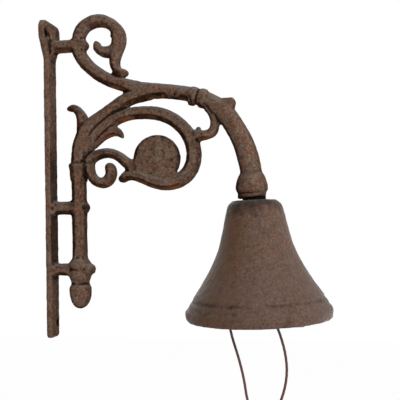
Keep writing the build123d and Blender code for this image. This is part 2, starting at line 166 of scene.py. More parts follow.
def grid_mesh(name, points, closed_rows, closed_columns):
    """A mesh of quads over a grid of points, rows by columns, joined end to end where it is closed."""
    rows, columns = points.shape[:2]
    row_count = rows if closed_rows else rows - 1
    column_count = columns if closed_columns else columns - 1
    row, column = np.meshgrid(np.arange(row_count), np.arange(column_count), indexing="ij")
    next_row, next_column = (row + 1) % rows, (column + 1) % columns
    corners = ((row, column), (row, next_column), (next_row, next_column), (next_row, column))
    quads = np.stack([r * columns + c for r, c in corners], axis=-1).reshape(-1, 4)
    return quad_mesh(name, points.reshape(-1, 3), quads)


def quad_mesh(name, vertices, quads):
    """Puts whole arrays of vertices and quads into a smooth-shaded mesh."""
    mesh = bpy.data.meshes.new(name)
    mesh.vertices.add(len(vertices))
    mesh.vertices.foreach_set("co", np.ascontiguousarray(vertices, dtype=np.float32).ravel())
    mesh.loops.add(quads.size)
    mesh.loops.foreach_set("vertex_index", quads.astype(np.int32).ravel())
    mesh.polygons.add(len(quads))
    mesh.polygons.foreach_set("loop_start", np.arange(0, quads.size, 4, dtype=np.int32))
    mesh.update(calc_edges=True)
    mesh.polygons.foreach_set("use_smooth", np.ones(len(quads), dtype=bool))
    mesh.validate()
    return mesh


def give_material(mesh, material):
    """Leaves the mesh with this one material."""
    mesh.materials.clear()
    mesh.materials.append(material)


def add_piece(name, mesh, material):
    """An object at the origin that carries the mesh and its one material."""
    piece = bpy.data.objects.new(name, mesh)
    bpy.context.collection.objects.link(piece)
    give_material(mesh, material)
    return piece


def read_field(items, field, width, kind=np.float32):
    """One field of all of a mesh's vertices or edges, as an array of rows."""
    values = np.empty(len(items) * width, dtype=kind)
    items.foreach_get(field, values)
    return values.reshape(-1, width)


def read_vertices(mesh):
    """Each vertex's place."""
    return read_field(mesh.vertices, "co", 3).astype(float)


def read_normals(mesh):
    """Each vertex's normal, of length 1."""
    return read_field(mesh.vertices, "normal", 3).astype(float)


def read_edges(mesh):
    """The numbers of each edge's two vertices."""
    return read_field(mesh.edges, "vertices", 2, np.int32)


def write_vertices(mesh, points):
    """Moves all vertices to new places."""
    mesh.vertices.foreach_set("co", points.astype(np.float32).ravel())
    mesh.update()


def neighbour_mean(values, edges):
    """Each vertex's mean over the vertices that share an edge with it."""
    count = np.bincount(edges.ravel(), minlength=len(values)).astype(float)
    total = np.zeros_like(values)
    for axis in range(values.shape[1]):
        column = np.bincount(edges[:, 0], weights=values[edges[:, 1], axis], minlength=len(values))
        column += np.bincount(edges[:, 1], weights=values[edges[:, 0], axis], minlength=len(values))
        total[:, axis] = column
    return total / np.maximum(count, 1)[:, None]


def averaged(values, edges, rounds):
    """Values spread over a mesh: each round moves every one half of the way to its neighbours' mean."""
    for _ in range(rounds):
        values = values + 0.5 * (neighbour_mean(values, edges) - values)
    return values


def soften(mesh, rounds):
    """Plain smoothing: each vertex moves half of the way to its neighbours' mean."""
    write_vertices(mesh, averaged(read_vertices(mesh), read_edges(mesh), rounds))


def fill_creases(mesh, rounds):
    """Casting fillets: a vertex below its neighbours' mean rises to it, and proud edges stay as they are."""
    edges = read_edges(mesh)
    for _ in range(rounds):
        points = read_vertices(mesh)
        normals = read_normals(mesh)
        rise = np.einsum("ij,ij->i", neighbour_mean(points, edges) - points, normals)
        write_vertices(mesh, points + normals * np.maximum(rise, 0)[:, None])


def hollow_depth(mesh, reach):
    """How deep each vertex lies in a hollow, -1 to 1: the height of its spread-out neighbours' mean above it.

    The deepest twentieth counts as full, and a nanometre keeps a flat mesh from a division by nought."""
    points, edges = read_vertices(mesh), read_edges(mesh)
    rise = np.einsum("ij,ij->i", averaged(points, edges, reach) - points, read_normals(mesh))
    depth = averaged(rise[:, None], edges, 3)[:, 0]
    full = np.percentile(np.abs(depth), 95) + 1e-9
    return np.clip(depth / full, -1, 1)


def wide_normal(mesh, rounds):
    """The normal of a wider patch round each vertex: its own, averaged with its neighbours'."""
    return averaged(read_normals(mesh), read_edges(mesh), rounds)


def store(mesh, name, values):
    """Keeps one value per vertex, cut off at -1 and 1, as an attribute that the materials read by name."""
    attribute = mesh.attributes.new(name, "FLOAT", "POINT")
    attribute.data.foreach_set("value", np.clip(values, -1, 1).astype(np.float32).ravel())


def cast_skin(node, voxel, rounds, name):
    """A solid's copy as an even skin: its triangles are merged, remeshed in small voxels and softened."""
    piece = bpy.data.objects.new(name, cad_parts[node].data.copy())
    bpy.context.collection.objects.link(piece)
    weld = piece.modifiers.new("weld", "WELD")
    weld.merge_threshold = 0.001 * MM
    voxels = piece.modifiers.new("voxels", "REMESH")
    voxels.mode = "VOXEL"
    voxels.voxel_size = voxel
    voxels.use_smooth_shade = True
    bpy.context.view_layer.update()
    graph = bpy.context.evaluated_depsgraph_get()
    skin = bpy.data.meshes.new_from_object(piece.evaluated_get(graph))
    piece.modifiers.clear()
    piece.data = skin
    skin.name = name
    soften(skin, rounds)
    return piece


def push(mesh, amount):
    """Moves every vertex along its normal by its own amount."""
    write_vertices(mesh, read_vertices(mesh) + read_normals(mesh) * amount[:, None])


# Height and cell size of the sand mould's slow waves, its lumps and its coarse grain
SAND_SCALES = ((0.12 * MM, 9 * MM), (0.13 * MM, 3.1 * MM), (0.10 * MM, 1.5 * MM))
BRACKET_SEED, BELL_SEED, CLAPPER_SEED = 11, 31, 51
FULL_RELIEF = 0.2 * MM


def sand_relief(points, seed):
    """Relief of a sand casting: noise of three sizes, each with its own height and its own seed, added up."""
    layers = enumerate(SAND_SCALES)
    return sum(height * lattice_noise(points, size, seed + layer) for layer, (height, size) in layers)


def relief_tone(amount, share):
    """What the relief adds to the attribute of hollows and shade: low places darken and high ones brighten.
    """
    return -share * amount / FULL_RELIEF


# Material helpers
VECTOR, COLOUR, VALUE = "NodeSocketVector", "NodeSocketColor", "NodeSocketFloat"


def feed(tree, value, socket):
    """Links an output to a socket, or sets the socket to a plain number or colour."""
    if isinstance(value, (int, float, tuple)):
        socket.default_value = value
    else:
        tree.links.new(value, socket)


def colour(red, green, blue):
    """A colour written as it shows on a screen, 0 to 255, turned to linear light."""
    screen = np.array([red, green, blue]) / 255
    linear = np.where(screen <= 0.04045, screen / 12.92, ((screen + 0.055) / 1.055) ** 2.4)
    return (*linear.tolist(), 1.0)


def node_group(name, inputs, outputs):
    """An empty shader node group, and the sockets that bring its inputs and take its outputs, by name."""
    group = bpy.data.node_groups.new(name, "ShaderNodeTree")
    for label, kind, value in inputs:
        socket = group.interface.new_socket(name=label, in_out="INPUT", socket_type=kind)
        if value is not None:
            socket.default_value = value
    for label, kind in outputs:
        group.interface.new_socket(name=label, in_out="OUTPUT", socket_type=kind)
    return group, group.nodes.new("NodeGroupInput").outputs, group.nodes.new("NodeGroupOutput").inputs


def place_group(tree, group, **values):
    """One use of a group in a material, with its sockets set or linked by name."""
    node = tree.nodes.new("ShaderNodeGroup")
    node.node_tree = group
    for label, value in values.items():
        feed(tree, value, node.inputs[label.replace("_", " ")])
    return node.outputs


def noise(tree, vector, scale, detail, roughness):
    """A noise pattern with that many cells to the metre."""
    node = tree.nodes.new("ShaderNodeTexNoise")
    node.inputs["Scale"].default_value = scale
    node.inputs["Detail"].default_value = detail
    node.inputs["Roughness"].default_value = roughness
    feed(tree, vector, node.inputs["Vector"])
    return node.outputs["Fac"]


def moved(tree, vector, offset):
    """The same coordinates moved aside, so that one more noise pattern doesn't repeat the first."""
    node = tree.nodes.new("ShaderNodeVectorMath")
    node.operation = "ADD"
    node.inputs[1].default_value = offset
    feed(tree, vector, node.inputs[0])
    return node.outputs["Vector"]


def ramp(tree, value, low, high):
    """0 below low, 1 above high, and a soft S curve between."""
    node = tree.nodes.new("ShaderNodeMapRange")
    node.interpolation_type = "SMOOTHSTEP"
    node.inputs["From Min"].default_value = low
    node.inputs["From Max"].default_value = high
    feed(tree, value, node.inputs["Value"])
    return node.outputs["Result"]


def reckon(tree, operation, first, second):
    """One step of arithmetic on two outputs or numbers."""
    node = tree.nodes.new("ShaderNodeMath")
    node.operation = operation
    feed(tree, first, node.inputs[0])
    feed(tree, second, node.inputs[1])
    return node.outputs["Value"]


def times(tree, first, second):
    """The product of two outputs or numbers."""
    return reckon(tree, "MULTIPLY", first, second)


def plus(tree, first, second):
    """The sum of two outputs or numbers."""
    return reckon(tree, "ADD", first, second)


def minus(tree, first, second):
    """The first output or number less the second."""
    return reckon(tree, "SUBTRACT", first, second)


def blend_colours(tree, share, first, second):
    """The first colour, with that share of the second mixed in."""
    node = tree.nodes.new("ShaderNodeMix")
    node.data_type = "RGBA"
    feed(tree, share, node.inputs["Factor"])
    feed(tree, first, node.inputs["A"])
    feed(tree, second, node.inputs["B"])
    return node.outputs["Result"]


def attribute_value(tree, name):
    """A value that the mesh keeps for each vertex, or 0 where it has none."""
    node = tree.nodes.new("ShaderNodeAttribute")
    node.attribute_name = name
    return node.outputs["Fac"]


def drift_roughness(tree, shader, pattern, low, high):
    """A roughness that drifts between two values with a pattern."""
    node = tree.nodes.new("ShaderNodeMapRange")
    node.inputs["To Min"].default_value = low
    node.inputs["To Max"].default_value = high
    feed(tree, pattern, node.inputs["Value"])
    feed(tree, node.outputs["Result"], shader.inputs["Roughness"])


def add_bump(tree, shader, height, strength, distance):
    """Relief too fine for the mesh, from a height pattern."""
    node = tree.nodes.new("ShaderNodeBump")
    node.inputs["Strength"].default_value = strength
    node.inputs["Distance"].default_value = distance
    feed(tree, height, node.inputs["Height"])
    feed(tree, node.outputs["Normal"], shader.inputs["Normal"])


def new_material(name):
    """A plain material, with its tree, its shader and the coordinates that its patterns follow."""
    material = bpy.data.materials.new(name)
    material.use_nodes = True
    tree = material.node_tree
    return material, tree, tree.nodes["Principled BSDF"], tree.nodes.new("ShaderNodeTexCoord").outputs


# Effects that several materials use
def make_sand_grain():
    """Grain of the sand mould: fine and coarser noise as a height, and pits where a cell pattern dips."""
    group, given, made = node_group(
        "sand grain",
        [("Vector", VECTOR, None), ("Coarse", VALUE, 0.5), ("Pits", VALUE, 0.4)],
        [("Height", VALUE), ("Pit Mask", VALUE)],
    )
    vector = given["Vector"]
    fine = noise(group, vector, 1500, 3, 0.6)
    coarse = noise(group, vector, 480, 4, 0.55)
    spots = group.nodes.new("ShaderNodeTexVoronoi")
    spots.inputs["Scale"].default_value = 330
    feed(group, vector, spots.inputs["Vector"])
    pit = minus(group, 1.0, ramp(group, spots.outputs["Distance"], 0.08, 0.42))
    sparse = ramp(group, noise(group, vector, 120, 3, 0.6), 0.52, 0.68)
    pit = times(group, times(group, pit, sparse), given["Pits"])
    height = plus(group, fine, times(group, coarse, given["Coarse"]))
    feed(group, minus(group, height, pit), made["Height"])
    feed(group, pit, made["Pit Mask"])
    return group


def make_rust_bloom():
    """Colour of rusted iron: a brown ground, rust red in drifting patches, thin grey skin and fine speckle.

    Its soot is one more pattern of patches, which a material may use or leave."""
    group, given, made = node_group(
        "rust bloom",
        [("Vector", VECTOR, None), ("Ground", COLOUR, None), ("Rust", COLOUR, None), ("Grey", COLOUR, None),
         ("Rust Share", VALUE, 0.5), ("Grey Share", VALUE, 0.5), ("Speckle", VALUE, 0.5)],
        [("Colour", COLOUR), ("Soot", VALUE)],
    )
    vector = given["Vector"]
    patches = ramp(group, noise(group, vector, 120, 5, 0.65), 0.47, 0.66)
    tone = blend_colours(group, times(group, patches, given["Rust Share"]), given["Ground"], given["Rust"])
    worn = ramp(group, noise(group, moved(group, vector, (0.37, 0.11, 0.23)), 130, 5, 0.65), 0.5, 0.7)
    tone = blend_colours(group, times(group, worn, given["Grey Share"]), tone, given["Grey"])
    speck = ramp(group, noise(group, vector, 620, 4, 0.7), 0.32, 0.68)
    lift = plus(group, times(group, minus(group, speck, 0.5), given["Speckle"]), 1.0)
    brighter = group.nodes.new("ShaderNodeVectorMath")
    brighter.operation = "SCALE"
    feed(group, tone, brighter.inputs[0])
    feed(group, lift, brighter.inputs["Scale"])
    feed(group, brighter.outputs["Vector"], made["Colour"])
    soot_and_shade = noise(group, moved(group, vector, (0.83, 0.59, 0.41)), 190, 6, 0.68)
    feed(group, ramp(group, soot_and_shade, 0.46, 0.68), made["Soot"])
    return group


def make_shape_and_shade_tone():
    """Tone by shape, with painted light and shade: painted shade in a side colour at a limb's edges, with
    orange patches of painted warm bounce light where it faces down, dust and a painted sheen on top, soot,
    and patina and painted shade in the hollows.

    The normal is the object's own, so that the dust and sheen lie on what faces up at rest."""
    group, given, made = node_group(
        "shape and shade tone",
        [("Colour", COLOUR, None), ("Vector", VECTOR, None), ("Normal", VECTOR, None), ("Edge", VALUE, 0.0),
         ("Hollow", VALUE, 0.0), ("Soot", VALUE, 0.0), ("Soot Share", VALUE, 0.4), ("Dark", COLOUR, None),
         ("Worn", COLOUR, None), ("Under", COLOUR, None), ("Dust", COLOUR, None), ("Side", COLOUR, None),
         ("Side Share", VALUE, 0.5), ("Dark Share", VALUE, 0.6), ("Worn Share", VALUE, 0.4),
         ("Under Share", VALUE, 0.4), ("Dust Share", VALUE, 0.4)],
        [("Colour", COLOUR)],
    )
    vector, edge, hollow_and_shade = given["Vector"], given["Edge"], given["Hollow"]
    own = group.nodes.new("ShaderNodeSeparateXYZ")
    feed(group, given["Normal"], own.inputs["Vector"])
    upward = own.outputs["Z"]
    # Painted shade: the side colour at a limb's edges, ragged by noise
    ragged = times(group, minus(group, noise(group, vector, 420, 4, 0.65), 0.5), 1.2)
    shade = ramp(group, plus(group, edge, ragged), 0.03, 0.74)
    # Painted warm bounce light: orange patches where the side faces down, over a faint orange mottle
    # everywhere
    patches = ramp(group, noise(group, vector, 60, 4, 0.6), 0.44, 0.56)
    below = ramp(group, times(group, upward, -1.0), 0.35, 0.85)
    mottle = ramp(group, noise(group, vector, 260, 4, 0.7), 0.46, 0.66)
    warm = reckon(group, "MAXIMUM", times(group, patches, below), times(group, mottle, 0.4))
    side = blend_colours(group, times(group, warm, given["Under Share"]), given["Side"], given["Under"])
    tone = blend_colours(group, times(group, shade, given["Side Share"]), given["Colour"], side)
    # Dust and a painted sheen, on what faces up
    above = times(group, ramp(group, upward, 0.22, 0.85), given["Dust Share"])
    tone = blend_colours(group, above, tone, given["Dust"])
    # Soot patches, heavier where a limb's edge is painted in shade
    sooty = times(group, given["Soot"], given["Soot Share"])
    sooty = times(group, sooty, plus(group, times(group, edge, 0.45), 0.55))
    tone = blend_colours(group, sooty, tone, given["Dark"])
    # Patina in the creases and painted shade, both kept in the attribute of hollows and shade
    deep = times(group, ramp(group, hollow_and_shade, 0.05, 0.75), given["Dark Share"])
    tone = blend_colours(group, deep, tone, given["Dark"])
    raised = ramp(group, times(group, hollow_and_shade, -1.0), 0.25, 0.95)
    tone = blend_colours(group, times(group, raised, given["Worn Share"]), tone, given["Worn"])
    feed(group, tone, made["Colour"])
    return group


SAND_GRAIN = make_sand_grain()
RUST_BLOOM = make_rust_bloom()
SHAPE_AND_SHADE_TONE = make_shape_and_shade_tone()


# Materials
IRON_SPECULAR = 0.012
SHEEN_ROUGHNESS = 0.4


def cast_iron(name, tones, shares, roughness, bump, sheen=0.0):
    """Rusty cast iron: bloom, tone by shape with painted light and shade, dark pits, sand grain and a
    roughness broken up by noise.
    """
    material, tree, shader, place = new_material(name)
    shader.inputs["Specular IOR Level"].default_value = IRON_SPECULAR
    if sheen:
        shader.inputs["Sheen Weight"].default_value = sheen
        shader.inputs["Sheen Roughness"].default_value = SHEEN_ROUGHNESS
    tone = {label: colour(*screen) for label, screen in tones.items()}
    grain = place_group(tree, SAND_GRAIN, Vector=place["Object"], Coarse=0.9, Pits=shares["pits"])
    bloom = place_group(
        tree, RUST_BLOOM, Vector=place["Object"], Ground=tone["ground"], Rust=tone["rust"], Grey=tone["grey"],
        Rust_Share=shares["rust"], Grey_Share=shares["grey"], Speckle=shares["speckle"],
    )
    shape_and_shade = place_group(
        tree, SHAPE_AND_SHADE_TONE, Colour=bloom["Colour"], Soot=bloom["Soot"], Vector=place["Object"],
        Normal=place["Normal"], Hollow=attribute_value(tree, "hollow_and_shade"), Edge=attribute_value(tree, "edge"),
        Dark=tone["dark"], Side=tone["side"], Worn=tone["worn"], Under=tone["under"], Dust=tone["dust_and_sheen"],
        Soot_Share=shares["soot_and_shade"], Side_Share=shares["side"], Dark_Share=shares["dark"],
        Worn_Share=shares["worn"], Under_Share=shares["under"], Dust_Share=shares["dust_and_sheen"],
    )
    pitted = blend_colours(tree, grain["Pit Mask"], shape_and_shade["Colour"], tone["dark"])
    feed(tree, pitted, shader.inputs["Base Color"])
    matt = noise(tree, place["Object"], 260, 4, 0.6)
    drift_roughness(tree, shader, matt, roughness - 0.1, roughness + 0.12)
    add_bump(tree, shader, grain["Height"], bump, 0.5 * MM)
    return material


def steel(name, tone, stain, roughness):
    """Dull plated steel: a metallic skin with stains and an uneven polish."""
    material, tree, shader, place = new_material(name)
    shader.inputs["Metallic"].default_value = 0.85
    grain = place_group(tree, SAND_GRAIN, Vector=place["Object"], Coarse=0.3, Pits=0.1)
    bloom = place_group(
        tree, RUST_BLOOM, Vector=place["Object"], Ground=tone, Rust=stain, Grey=tone,
        Rust_Share=0.6, Grey_Share=0.2, Speckle=0.3,
    )
    feed(tree, bloom["Colour"], shader.inputs["Base Color"])
    polish = noise(tree, place["Object"], 400, 4, 0.6)
    drift_roughness(tree, shader, polish, roughness - 0.08, roughness + 0.15)
    add_bump(tree, shader, grain["Height"], 0.25, 0.1 * MM)
    return material


def rubber(name, tone, bloom_tone):
    """Matt black rubber with a dry grey bloom."""
    material, tree, shader, place = new_material(name)
    shader.inputs["Roughness"].default_value = 0.75
    shader.inputs["Specular IOR Level"].default_value = 0.05
    bloom = place_group(
        tree, RUST_BLOOM, Vector=place["Object"], Ground=tone, Rust=tone, Grey=bloom_tone,
        Rust_Share=0.0, Grey_Share=0.5, Speckle=0.4,
    )
    feed(tree, bloom["Colour"], shader.inputs["Base Color"])
    grain = place_group(tree, SAND_GRAIN, Vector=place["Object"], Coarse=0.2, Pits=0.0)
    add_bump(tree, shader, grain["Height"], 0.2, 0.1 * MM)
    return material


def lace_fibre(name, tone, light, dark):
    """Waxed round lace: the strands' relief is in the mesh, and the plait attribute colours it, with painted
    shade in the low places between the strands.
    """
    material, tree, shader, place = new_material(name)
    shader.inputs["Roughness"].default_value = 0.55
    strands = blend_colours(tree, ramp(tree, attribute_value(tree, "plait"), 0.1, 0.9), dark, tone)
    fibres = noise(tree, place["Object"], 1800, 3, 0.6)
    strands = blend_colours(tree, ramp(tree, fibres, 0.45, 0.8), strands, light)
    feed(tree, strands, shader.inputs["Base Color"])
    add_bump(tree, shader, fibres, 0.3, 0.1 * MM)
    return material


# Tones: side is painted shade at a limb's edges, and on the bell a painted warm shade on its side to the
# wall; under is painted warm bounce light, in patches where a side faces down; the top tone is dust with a
# painted sheen; dark serves soot, pits, patina in creases and painted shade
BRACKET_IRON = cast_iron(
    "bracket iron", roughness=0.68, bump=0.6,
    tones={"ground": (108, 85, 71), "rust": (122, 76, 58), "grey": (112, 104, 94), "dark": (19, 11, 7),
           "side": (34, 17, 6), "worn": (132, 114, 104), "under": (132, 80, 50), "dust_and_sheen": (114, 110, 106)},
    shares={"rust": 0.42, "grey": 0.6, "speckle": 0.8, "side": 0.92, "dark": 0.85, "worn": 0.5, "under": 0.85,
            "dust_and_sheen": 0.75, "soot_and_shade": 0.65, "pits": 0.7},
)
BELL_IRON = cast_iron(
    "bell iron", roughness=0.66, bump=0.6, sheen=0.4,
    tones={"ground": (102, 81, 70), "rust": (114, 75, 60), "grey": (108, 100, 91), "dark": (24, 16, 12),
           "side": (102, 70, 46), "worn": (114, 96, 88), "under": (104, 72, 56), "dust_and_sheen": (98, 84, 76)},
    shares={"rust": 0.4, "grey": 0.4, "speckle": 0.6, "side": 0.8, "dark": 0.7, "worn": 0.3, "under": 0.3,
            "dust_and_sheen": 0.5, "soot_and_shade": 0.3, "pits": 0.5},
)
CLAPPER_IRON = cast_iron(
    "clapper iron", roughness=0.58, bump=0.5,
    tones={"ground": (90, 72, 62), "rust": (110, 70, 50), "grey": (116, 106, 100), "dark": (26, 20, 17),
           "side": (80, 64, 54), "worn": (130, 118, 110), "under": (100, 68, 50), "dust_and_sheen": (102, 92, 86)},
    shares={"rust": 0.5, "grey": 0.5, "speckle": 0.5, "side": 0.2, "dark": 0.7, "worn": 0.6, "under": 0.3,
            "dust_and_sheen": 0.2, "soot_and_shade": 0.3, "pits": 0.5},
)
PLATED_STEEL = steel("plated steel", colour(150, 148, 142), colour(120, 96, 74), 0.38)
DARK_STEEL = steel("dark steel", colour(96, 92, 88), colour(96, 66, 48), 0.42)
# Near black: the washer's rubber, and painted shade for the dark gap that it fills under the socket
BLACK_RUBBER_AND_SHADE = rubber("black rubber and painted shade", colour(5, 4, 4), colour(16, 14, 14))
BROWN_LACE = lace_fibre("brown lace", colour(84, 40, 36), colour(112, 66, 58), colour(40, 18, 17))


# Bracket
def make_bracket():
    """The bracket's skin: petal strokes on the boss, a strap, a groove and the sand mould's relief all over.

    Its attribute of hollows and shade holds the depth of its creases, dark as patina, or, where that is
    darker, painted shade: on the strip's front, over the collar, round the lug's holes, at the boss's rim,
    beside the arm's ring and in the screw holes, with soot and painted shade along the arm's seam."""
    piece = cast_skin("wall_bracket", 0.85 * MM, 1, "bracket")
    mesh = piece.data
    depth = hollow_depth(mesh, 7) + 0.5 * hollow_depth(mesh, 2)
    # Painted shade at the limbs' edges, from the wide normal
    edge = limb_edge_shade(read_vertices(mesh), wide_normal(mesh, 22))
    fill_creases(mesh, 7)
    soften(mesh, 1)
    points = read_vertices(mesh)
    normals = read_normals(mesh)
    away = points - BOSS
    radius = np.hypot(away[:, 0], away[:, 2])
    face = smooth_step(np.abs(normals[:, 1]), 0.75, 0.95)
    face *= 1 - smooth_step(radius, 0.86 * BOSS_RADIUS, 0.98 * BOSS_RADIUS)
    amount = sand_relief(points, BRACKET_SEED) + acorn_strap(points, normals) + socket_groove(points)
    amount += face * (petal_strokes(away) + boss_foot(away))
    near_boss = 1 - smooth_step(radius, 1.1 * BOSS_RADIUS, 1.25 * BOSS_RADIUS)
    near_thorn = hump(np.linalg.norm(points[:, [0, 2]] - THORN_FOOT, axis=1), 5 * MM)
    creases = depth * (1 - 0.8 * near_boss) * (1 - 0.8 * near_thorn) + relief_tone(amount, 0.16)
    # Painted shade in the screw holes, for the hollows and the edges
    in_holes = screw_hole_share(points)
    # The darkest of the creases' patina and the painted shade of each place
    dark = np.maximum.reduce([
        creases, boss_rim_shade(points, radius), strip_shade(points, normals), collar_shadow(points),
        lug_shade(points), arm_seam_shade(points, normals), ring_shade(points), in_holes,
    ])
    push(mesh, amount)
    store(mesh, "hollow_and_shade", dark)
    # The edge attribute is painted shade, at the limbs' edges and in the screw holes
    store(mesh, "edge", np.maximum(edge, in_holes))
    give_material(mesh, BRACKET_IRON)
    return piece


def limb_edge_shade(points, wide):
    """The share of painted shade at a limb's edges: the wide normal's lean away from Y, full where it turns
    to the wall or down.

    The round arm and the acorn have narrower edges, and the top scroll fainter ones. The stem has its own, by
    the distance from its middle, and the wall strip has only a veil of painted shade over its front."""
    away = points - BOSS
    arm = smooth_step(np.hypot(away[:, 0], away[:, 2]), 38 * MM, 44 * MM)
    arm *= smooth_step(points[:, 0], 92 * MM, 102 * MM)
    drop = -points[:, 2]
    acorn = smooth_step(drop, 166 * MM, 172 * MM) * smooth_step(points[:, 0], 14 * MM, 18 * MM)
    turning = np.maximum(arm, acorn)
    edge = 1 - smooth_step(np.abs(wide[:, 1]), 0.82 - 0.46 * turning, 0.985 - 0.12 * turning)
    turned = smooth_step(-0.85 * wide[:, 0] - 0.6 * wide[:, 2], 0.03, 0.22)
    beside = points[:, 0] - STEM_REACH - 1 * MM
    on_stem = within(drop, 84 * MM, 96 * MM, 160 * MM, 168 * MM) * (np.abs(beside) < 7 * MM)
    stem_left = smooth_step(-beside, 1.6 * MM, 3.4 * MM) * on_stem
    stem_right = smooth_step(beside, 3.6 * MM, 4.6 * MM) * on_stem
    edge = np.maximum(edge, stem_left + stem_right)
    turned = np.maximum(turned, 0.5 * stem_right)
    top_scroll = smooth_step(-drop, -42 * MM, -22 * MM)
    edge *= 1 - 0.45 * top_scroll
    off_strip = smooth_step(points[:, 0], STRIP_FRONT, STRIP_FRONT + 4 * MM)
    veil = 0.3 * smooth_step(wide[:, 0], 0.5, 0.85)
    return edge * (0.34 + 0.66 * turned) * off_strip + veil * (1 - off_strip)


def acorn_strap(points, normals):
    """A strap that slants over the acorn's cap to the strut's end, with a groove below: humps by a line."""
    above = points[:, 2] - np.interp(points[:, 0], STRAP_REACH, STRAP_RISE)
    near = within(points[:, 0], 15 * MM, 17.5 * MM, 34 * MM, 37 * MM)
    front = smooth_step(np.abs(normals[:, 1]), 0.1, 0.6)
    ridge = 0.55 * hump(above, 1.5 * MM) - 0.6 * hump(above + 3.1 * MM, 0.9 * MM)
    return ridge * near * front * MM


def foot_sector(away):
    """1 in the sector where the scroll runs under the boss, 0 elsewhere, by the angle about its centre."""
    angle = np.degrees(np.arctan2(away[:, 2], away[:, 0]))
    return within(angle, -165, -135, -45, -20)


def boss_foot(away):
    """The boss swells up to the scroll below it: a rise with the radius, kept to the foot's sector."""
    radius = np.hypot(away[:, 0], away[:, 2])
    return 1.3 * MM * foot_sector(away) * smooth_step(radius, 0.62 * BOSS_RADIUS, 0.97 * BOSS_RADIUS)


def boss_rim_shade(points, radius):
    """Painted shade in a ring at the boss's own edge: a band of radius, uneven by noise, left out in the
    foot's sector.
    """
    band = within(radius / BOSS_RADIUS, 0.84, 0.97, 1.0, 1.05)
    uneven = 0.42 + 0.35 * lattice_noise(points, 4 * MM, 61)
    return band * uneven * (1 - foot_sector(points - BOSS))


def socket_groove(points):
    """A shallow groove round the socket above its rim: a hump in height, weighted by slow noise."""
    level = points[:, 2] - (SEAT + 4.4 * MM) - 0.06 * (points[:, 0] - BELL_REACH)
    near = smooth_step(points[:, 0], BELL_REACH - 16 * MM, BELL_REACH - 13 * MM)
    uneven = 0.6 + 0.5 * lattice_noise(points, 5 * MM, 41)
    return -0.5 * MM * hump(level, 0.9 * MM) * near * uneven


def lug_shade(points):
    """Painted shade round the lug's screw holes: a hump in y and height, longer below, fainter beyond the
    web.
    """
    away_side = np.abs(points[:, 1]) - LUG_HOLE_SIDE
    fall = points[:, 2] + 1.5 * MM
    reach = np.where(fall < 0, 8 * MM, 4.5 * MM)
    spread = hump(away_side, 3.4 * MM) * hump(fall, reach)
    near_side = 1 - 0.8 * smooth_step(points[:, 1], -2 * MM, 2 * MM)
    uneven = 0.75 + 0.4 * lattice_noise(points, 3 * MM, 77)
    return 0.5 * near_side * spread * (points[:, 0] < STRIP_FRONT + 1.2 * MM) * uneven


def arm_seam_shade(points, normals):
    """Soot on a mould seam low on the arm's front, with painted shade of the arm's lower edge: a hump about a
    line in x and z, broken up by quick noise.
    """
    near = hump(points[:, 2] - np.interp(points[:, 0], SEAM_REACH, SEAM_RISE), 1.5 * MM)
    near *= smooth_step(points[:, 0], SEAM_REACH[0], SEAM_REACH[0] + 5 * MM)
    near *= 1 - smooth_step(points[:, 0], SEAM_REACH[-1] - 3 * MM, SEAM_REACH[-1])
    quick = lattice_noise(points, 2.1 * MM, 55) + 0.5 * lattice_noise(points, 1.2 * MM, 56)
    ragged = smooth_step(quick, -0.6, 0.1)
    return 0.95 * near * ragged * smooth_step(np.abs(normals[:, 1]), 0.2, 0.5)


def ring_shade(points):
    """Painted shade beside the arm's double ring: a hump of the distance from short lines, broken up by
    noise.
    """
    flat = points[:, [0, 2]]
    soot_and_shade = np.zeros(len(points))
    for start, end in RING_SHADE:
        along = end - start
        share = np.clip((flat - start) @ along / (along @ along), 0, 1)
        away = np.linalg.norm(flat - start - share[:, None] * along, axis=1)
        soot_and_shade = np.maximum(soot_and_shade, hump(away, 1.0 * MM))
    return soot_and_shade * (0.8 + 0.3 * lattice_noise(points, 1.5 * MM, 57))


def collar_shadow(points):
    """Dark line over the stem's collar and a fainter one under it: humps in height, kept to the stem by x."""
    over = hump(points[:, 2] - COLLAR_TOP, 0.7 * MM)
    under = 0.6 * hump(points[:, 2] - COLLAR_FOOT, 0.9 * MM)
    stem = within(points[:, 0], 12 * MM, 14 * MM, 34 * MM, 38 * MM)
    return 0.6 * stem * np.maximum(over, under)


def strip_shade(points, normals):
    """Dark front of the wall strip behind the stem: a rise and fall in height, broken up by slow noise."""
    front = smooth_step(normals[:, 0], 0.5, 0.85) * (points[:, 0] < STRIP_FRONT + 0.6 * MM)
    band = within(-points[:, 2], 40 * MM, 118 * MM, 178 * MM, 196 * MM)
    return front * band * (0.5 + 0.12 * lattice_noise(points, 9 * MM, 71))


def screw_hole_share(points):
    """The share of painted shade in the screw holes: 1 in them and on their very edges, 0 elsewhere, by the
    distance from each hole's axis.
    """
    share = np.zeros(len(points))
    for across, height, radius in SCREW_HOLES:
        away = np.hypot(points[:, 1] - across, points[:, 2] - height)
        share = np.maximum(share, 1 - smooth_step(away, radius, radius + 0.7 * MM))
    return share * (points[:, 0] < STRIP_FRONT + 0.4 * MM)


def petal_strokes(away):
    """Worn strokes on the boss: a faint wave that runs round spirals under soft pebbles of noise."""
    radius = np.hypot(away[:, 0], away[:, 2])
    angle = np.arctan2(away[:, 2], away[:, 0])
    ring = radius / (4.6 * MM)
    sway = np.cos(angle * 7 + ring * 2.0 + 1.2 * np.sin(ring * 2.3))
    pebbles = lattice_noise(away, 2.7 * MM, 91) + 0.8 * lattice_noise(away, 1.7 * MM, 92)
    return (0.12 * sway + 0.46 * pebbles - 0.1) * MM


